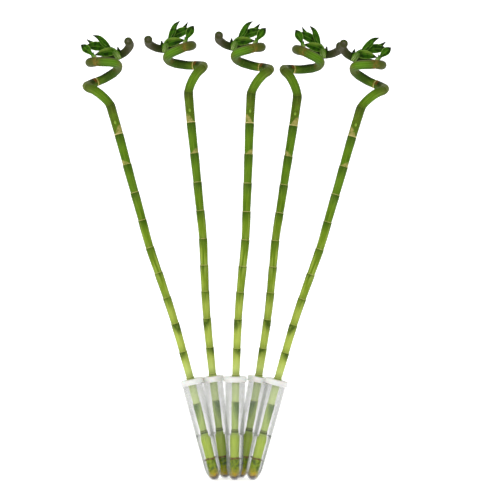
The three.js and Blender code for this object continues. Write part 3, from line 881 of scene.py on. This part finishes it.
    stained_foot = [
        ("#a4c004", 1, at_foot),
        ("#4c6c00", 0.85, at_foot, (spots, 0.4, 0.62)),
        ("#8a5a20", 0.8, *between(along, 23.5, 24.8, 25.6, 26.6)),
        ("#ccc008", 1, (ragged, 20, 14)),
        ("#eec010", 1, (ragged, 13, 10.6)),
        ("#6a4a18", 1, (ragged, 10, 8.4)),
    ]
    other_parts = [
        (cut_wood, 1, *only(kind, CUT_END)),
        ("#7a4a22", 1, *only(kind, ROOT)),
        ("#7d9a35", 1, *only(kind, RESTING_BUD)),
    ]
    # the pale base shows in the top of the tube: partly the cane's colour, partly painted light
    colour = coated(tree, "#e8fca4", [
        *colour_by_height, *shade_under_joints, *grain, *coil,
        *scars_and_joint_lines, *stained_foot, *other_parts,
    ])

    height = add(tree, "Math", {0: fibres, 1: spots}, operation="ADD")
    bump = add(tree, "Bump", {"Height": height, "Strength": 0.2, "Distance": 0.08 * MM})
    gloss = add(tree, "MapRange", {
        "Value": mottle, "From Min": 0.3, "From Max": 0.7, "To Min": 0.5, "To Max": 0.62,
    })
    surface = add(tree, "BsdfPrincipled", {
        "Base Color": colour, "Roughness": gloss, "IOR": 1.4, "Normal": bump, "Specular IOR Level": 0.15,
    })
    add(tree, "OutputMaterial", {"Surface": surface})
    return material


def leaf_finish():
    """Leaf tissue: satin green with fine parallel veins, paler edges and rib, a dark dry tip, and light that
    comes through it. The low folded leaf shows the pale back of its upper half. The sheath is pale green and
    the closed bud dark."""
    material, tree = new_material("leaf_satin_parallel_veined")
    across, along, number = parts_of(tree, "blade")
    kind, _, grown = parts_of(tree, "trait")
    blade_place = add(tree, "Attribute", attribute_name="blade").node.outputs["Vector"]
    place = add(tree, "TexCoord").node.outputs["Object"]
    side = add(tree, "Math", {0: across}, operation="ABSOLUTE")

    # about 13 veins on each half of a blade, other ones on each leaf, and slow patches 5 mm wide
    stretched = add(tree, "VectorMath", {0: blade_place, 1: (13, 1.2, 5)}, operation="MULTIPLY")
    veins = add(tree, "TexNoise", {"Vector": stretched, "Scale": 1, "Detail": 2})
    mottle = add(tree, "TexNoise", {"Vector": place, "Scale": 1 / (5 * MM), "Detail": 3})

    sheath = coated(tree, "#5c8c1c", [
        ("#cfdc94", 0.9, (veins, 0.5, 0.62)),
        ("#3c7000", 0.9, (grown, 0.3, 0.85)),
    ])
    bud = coated(tree, "#1d330a", [("#131f08", 1, (grown, 0.3, 1))])
    low_folded = (number, LOW_FOLDED_NUMBER - 0.2, LOW_FOLDED_NUMBER)
    colour = coated(tree, "#2a5c00", [
        ("#568a06", 0.75, (veins, 0.48, 0.64)),
        ("#163400", 0.9, (mottle, 0.48, 0.6)),
        ("#7fae38", 0.4, (side, 0.12, 0.03)),
        ("#8fae40", 0.75, low_folded, (across, -0.1, -0.45), (along, 0.25, 0.45)),
        ("#9cc456", 0.75, (side, 0.82, 0.95)),
        ("#8fb04c", 0.7, (along, 0.22, 0.02)),
        ("#16230a", 1, (along, 0.74, 0.9)),
        (sheath, 1, *only(kind, SHEATH)),
        (bud, 1, *only(kind, SHOOT_BUD)),
    ])

    bump = add(tree, "Bump", {"Height": veins, "Strength": 0.35, "Distance": 0.1 * MM})
    surface = add(tree, "BsdfPrincipled", {
        "Base Color": colour, "Roughness": 0.5, "IOR": 1.42, "Normal": bump, "Specular IOR Level": 0.1,
    })
    lit = coated(tree, colour, [("#a8d040", 0.45)])
    through = add(tree, "BsdfTranslucent", {"Color": lit})
    mixed = add(tree, "MixShader", {0: 0.22, 1: surface, 2: through})
    add(tree, "OutputMaterial", {"Surface": mixed})
    return material


def tube_finish():
    """Clear polypropylene, moulded with a fine frost: a milky veil over what is inside and a satin shine. It
    is clearer down the tube, and clearest where the water wets it and it is seen face on."""
    material, tree = new_material("polypropylene_moulded_frosted")
    wet = add(tree, "Attribute", attribute_name="wet").node.outputs["Fac"]
    place = add(tree, "TexCoord").node.outputs["Object"]

    # clouds 9 mm wide and a frost of 0.7 mm, coarser than the real one so that it shows
    cloud = add(tree, "TexNoise", {"Vector": place, "Scale": 1 / (9 * MM), "Detail": 2})
    frost = add(tree, "TexNoise", {"Vector": place, "Scale": 1 / (0.7 * MM), "Detail": 2})
    facing = add(tree, "LayerWeight", {"Blend": 0.35}).node.outputs["Facing"]
    dry = add(tree, "MapRange", {
        "Value": facing, "From Min": 0.1, "From Max": 0.9, "To Min": 0.27, "To Max": 0.23,
    })
    dipped = add(tree, "MapRange", {
        "Value": facing, "From Min": 0.08, "From Max": 0.26, "To Min": 0.03, "To Max": 0.34,
    })
    veil = add(tree, "Mix", {"Factor": wet, "A": dry, "B": dipped})
    uneven = add(tree, "MapRange", {
        "Value": cloud, "From Min": 0.3, "From Max": 0.7, "To Min": 0.88, "To Max": 1.12,
    })
    amount = add(tree, "Math", {0: veil, 1: uneven}, operation="MULTIPLY")
    bump = add(tree, "Bump", {"Height": frost, "Strength": 0.12, "Distance": 0.04 * MM})
    plastic = add(tree, "BsdfPrincipled", {
        "Base Color": linear("#a8adac"), "Roughness": 0.45, "IOR": 1.49, "Normal": bump,
        "Specular IOR Level": 0.3,
    })
    glow = add(tree, "BsdfTranslucent", {"Color": linear("#d6dad9")})
    body = add(tree, "MixShader", {0: 0.6, 1: plastic, 2: glow})
    clear = add(tree, "BsdfTransparent", {"Color": linear("#fbfafb")})
    mixed = add(tree, "MixShader", {0: amount, 1: clear, 2: body})
    add(tree, "OutputMaterial", {"Surface": mixed})
    return material


def cap_finish():
    """Soft white polyethylene, moulded: opaque and satin, with a fine grain and faint clouds."""
    material, tree = new_material("polyethylene_moulded_white")
    place = add(tree, "TexCoord").node.outputs["Object"]

    # grain 0.5 mm wide and clouds 12 mm wide
    grain = add(tree, "TexNoise", {"Vector": place, "Scale": 1 / (0.5 * MM), "Detail": 3})
    cloud = add(tree, "TexNoise", {"Vector": place, "Scale": 1 / (12 * MM), "Detail": 2})
    colour = coated(tree, "#dcdcd8", [("#e4e4e1", 1, (cloud, 0.35, 0.65))])
    bump = add(tree, "Bump", {"Height": grain, "Strength": 0.15, "Distance": 0.05 * MM})
    surface = add(tree, "BsdfPrincipled", {
        "Base Color": colour, "Roughness": 0.48, "IOR": 1.5, "Normal": bump,
        "Subsurface Weight": 0.15, "Subsurface Scale": 2 * MM,
    })
    add(tree, "OutputMaterial", {"Surface": surface})
    return material


def water_finish():
    """Still, clear water: it bends what is seen through it and adds no colour over a few centimetres."""
    material, tree = new_material("still_clear_water")
    surface = add(tree, "BsdfPrincipled", {
        "Base Color": linear("#ffffff"), "Roughness": 0, "IOR": 1.333, "Transmission Weight": 1,
    })
    add(tree, "OutputMaterial", {"Surface": surface})
    return material


# Putting the plants together

cane_skin = cane_finish()
leaf_skin = leaf_finish()
frosted = tube_finish()
white = cap_finish()
clear_water = water_finish()

cap_shape = cap_bmesh()
cane_shape = cane_bmesh()
upper_shape = shoot_bmesh(UPPER_SHEATH, [UPPER_BUD], UPPER_LEAVES)
lower_shape = shoot_bmesh(LOWER_SHEATH, [], LOWER_LEAVES)

for number, plant in enumerate(PLANTS, 1):
    tube = put(tube_bmesh(plant), f"frosted_tube_{number}", plant, frosted)
    dress(tube, f"tube_{number}")
    cap = put(cap_shape, f"white_cap_{number}", plant, white)
    dress(cap, f"cap_{number}")
    water = put(water_bmesh(plant), f"still_water_{number}", plant, clear_water)
    dress(water, f"water_{number}")
    cane = put(cane_shape, f"cane_{number}", plant, cane_skin, grown=True)
    dress(cane, f"stalk_{number}")
    upper_shoot = put(upper_shape, f"upper_leaves_{number}", plant, leaf_skin, grown=True)
    dress(upper_shoot, f"upper_shoot_{number}")
    lower_shoot = put(lower_shape, f"lower_leaves_{number}", plant, leaf_skin, grown=True)
    dress(lower_shoot, f"lower_shoot_{number}")


# Floor, light and camera, in metres

SWEEP = {"front": -3, "corner": 2.2, "radius": 0.8, "top": 3.2, "half_width": 4, "steps": 12}


def stage_material():
    """A matt opal acrylic sheet, lit evenly from behind."""
    material, tree = new_material("opal_acrylic_backlit")
    surface = add(tree, "BsdfPrincipled", {
        "Base Color": linear("#f4f4f4"), "Roughness": 0.9, "Emission Color": linear("#ffffff"),
        "Emission Strength": 0.55,
    })
    add(tree, "OutputMaterial", {"Surface": surface})
    return material


def stage_sweep():
    """A floor that curves up into a backdrop."""
    corner, radius, half_width = SWEEP["corner"], SWEEP["radius"], SWEEP["half_width"]
    profile = [(SWEEP["front"], 0), (corner, 0)]
    for i in range(1, SWEEP["steps"] + 1):
        angle = math.pi / 2 * i / SWEEP["steps"]
        profile.append((corner + radius * math.sin(angle), radius * (1 - math.cos(angle))))
    profile.append((corner + radius, SWEEP["top"]))
    bm = bmesh.new()
    row = [bm.verts.new((-half_width, y, z)) for y, z in profile]
    edges = [bm.edges.new(pair) for pair in zip(row, row[1:])]
    made = bmesh.ops.extrude_edge_only(bm, edges=edges)["geom"]
    fresh = [v for v in made if isinstance(v, bmesh.types.BMVert)]
    bmesh.ops.translate(bm, verts=fresh, vec=(2 * half_width, 0, 0))
    bmesh.ops.recalc_face_normals(bm, faces=bm.faces)
    if sum(f.normal.z for f in bm.faces) < 0:
        bmesh.ops.reverse_faces(bm, faces=bm.faces)
    mesh = bpy.data.meshes.new("studio_sweep")
    bm.to_mesh(mesh)
    bm.free()
    mesh.shade_smooth()
    mesh.materials.append(stage_material())
    sweep = bpy.data.objects.new("studio_sweep", mesh)
    bpy.context.scene.collection.objects.link(sweep)


def softbox(name, place, target, size, watts):
    """A soft rectangular light that looks at a target."""
    light = bpy.data.lights.new(name, "AREA")
    light.shape = "RECTANGLE"
    light.size, light.size_y = size
    light.energy = watts
    lamp = bpy.data.objects.new(name, light)
    lamp.location = place
    lamp.rotation_euler = (Vector(target) - Vector(place)).to_track_quat("-Z", "Y").to_euler()
    bpy.context.scene.collection.objects.link(lamp)


stage_sweep()
softbox("key_softbox", place=(-1.9, -1.2, 1.4), target=(0, 0, 0.35), size=(1.4, 1.4), watts=15)
softbox("fill_softbox", place=(1.8, -1.2, 0.9), target=(0, 0, 0.3), size=(1.2, 1.6), watts=4)
softbox("front_softbox", place=(0.1, -2.2, 0.7), target=(0, 0, 0.15), size=(1.6, 1.2), watts=6.5)
softbox("top_softbox", place=(0, 0.6, 2.2), target=(0, 0.2, 0), size=(2, 2), watts=8)

world = bpy.data.worlds.new("soft_white_surround")
world.use_nodes = True
surround = world.node_tree.nodes["Background"].inputs
surround["Color"].default_value = linear("#ffffff")
surround["Strength"].default_value = 0.6
bpy.context.scene.world = world
bpy.context.scene.view_settings.view_transform = "Standard"
bpy.context.scene.cycles.transparent_max_bounces = 32  # the walls of three tubes may be behind each other

CAMERA_PLACE = Vector((20.2, -2000, 299.9)) * MM
VIEW_WIDTH = 652 * MM  # what the picture spans at the middle plant
camera_data = bpy.data.cameras.new("camera")
camera_data.sensor_width = 36
camera_data.lens = camera_data.sensor_width * -CAMERA_PLACE.y / VIEW_WIDTH
camera = bpy.data.objects.new("camera", camera_data)
camera.location = CAMERA_PLACE
camera.rotation_euler = (math.pi / 2, 0, 0)
bpy.context.scene.collection.objects.link(camera)
bpy.context.scene.camera = camera
